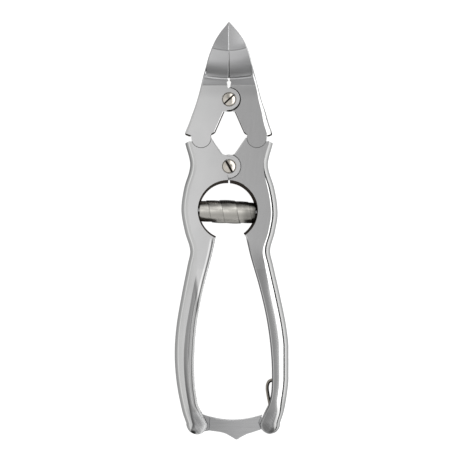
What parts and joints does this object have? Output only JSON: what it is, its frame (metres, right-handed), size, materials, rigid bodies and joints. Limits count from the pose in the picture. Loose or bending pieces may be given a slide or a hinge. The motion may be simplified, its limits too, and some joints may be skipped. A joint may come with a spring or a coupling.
{
  "type": "nail nipper",
  "caption": "Double-action steel nail nipper with two crossed jaws, two curved handles joined by knuckles, a barrel spring and a hinged lock bar at the handle ends.",
  "frame": {"origin": "on the axis of the handle pivot, in the flat back face that the nipper lies on", "axes": "+Y along the nipper towards the cutting tip, +X to the right seen from the front, +Z out of the front face"},
  "size_m": [0.0423, 0.1549, 0.0088],
  "materials": {
    "jaw_steel": "satin stainless steel, finely ground",
    "handle_steel": "satin front faces, polished outer edges and grips",
    "screw_steel": "polished steel",
    "pin_steel": "ground steel",
    "spring_steel": "rolled spring steel, slightly warm",
    "bar_steel": "brushed along its length"
  },
  "bodies": {
    "right_handle": {"right_handle": "handle_steel", "handle_pivot_screw": "screw_steel", "right_knuckle_pin": "pin_steel", "right_spring_peg": "pin_steel", "barrel_spring": "spring_steel", "lock_hinge_pin": "pin_steel", "lock_spring": "spring_steel"},
    "left_handle": {"left_handle": "handle_steel", "left_knuckle_pin": "pin_steel", "left_spring_peg": "pin_steel", "lock_catch_pin": "pin_steel"},
    "right_jaw": {"right_jaw": "jaw_steel", "jaw_pivot_screw": "screw_steel"},
    "left_jaw": {"left_jaw": "jaw_steel"},
    "lock_bar": {"lock_bar": "bar_steel"}
  },
  "joints": [
    {"name": "handle_hinge", "type": "hinge", "parent": "right_handle", "child": "left_handle", "pos_m": [0, 0, 0.0042], "axis": [0, 0, -1], "range_deg": [0, 18], "deforming": ["barrel_spring"]},
    {"name": "right_knuckle", "type": "hinge", "parent": "right_handle", "child": "right_jaw", "pos_m": [0.0103, 0.0106, 0.0042], "axis": [0, 0, -1], "range_deg": [0, 16]},
    {"name": "jaw_hinge", "type": "hinge", "parent": "right_jaw", "child": "left_jaw", "pos_m": [0, 0.0248, 0.0042], "axis": [0, 0, 1], "range_deg": [0, 14]},
    {"name": "lock_swing", "type": "hinge", "parent": "right_handle", "child": "lock_bar", "pos_m": [0.01523, -0.0954, 0.0042], "axis": [0, 0, 1], "range_deg": [-2.5, 70]}
  ],
  "couplings": [
    {"joint": "right_knuckle", "follows": "handle_hinge", "ratio": 0.8825},
    {"joint": "jaw_hinge", "follows": "handle_hinge", "ratio": 0.765}
  ]
}
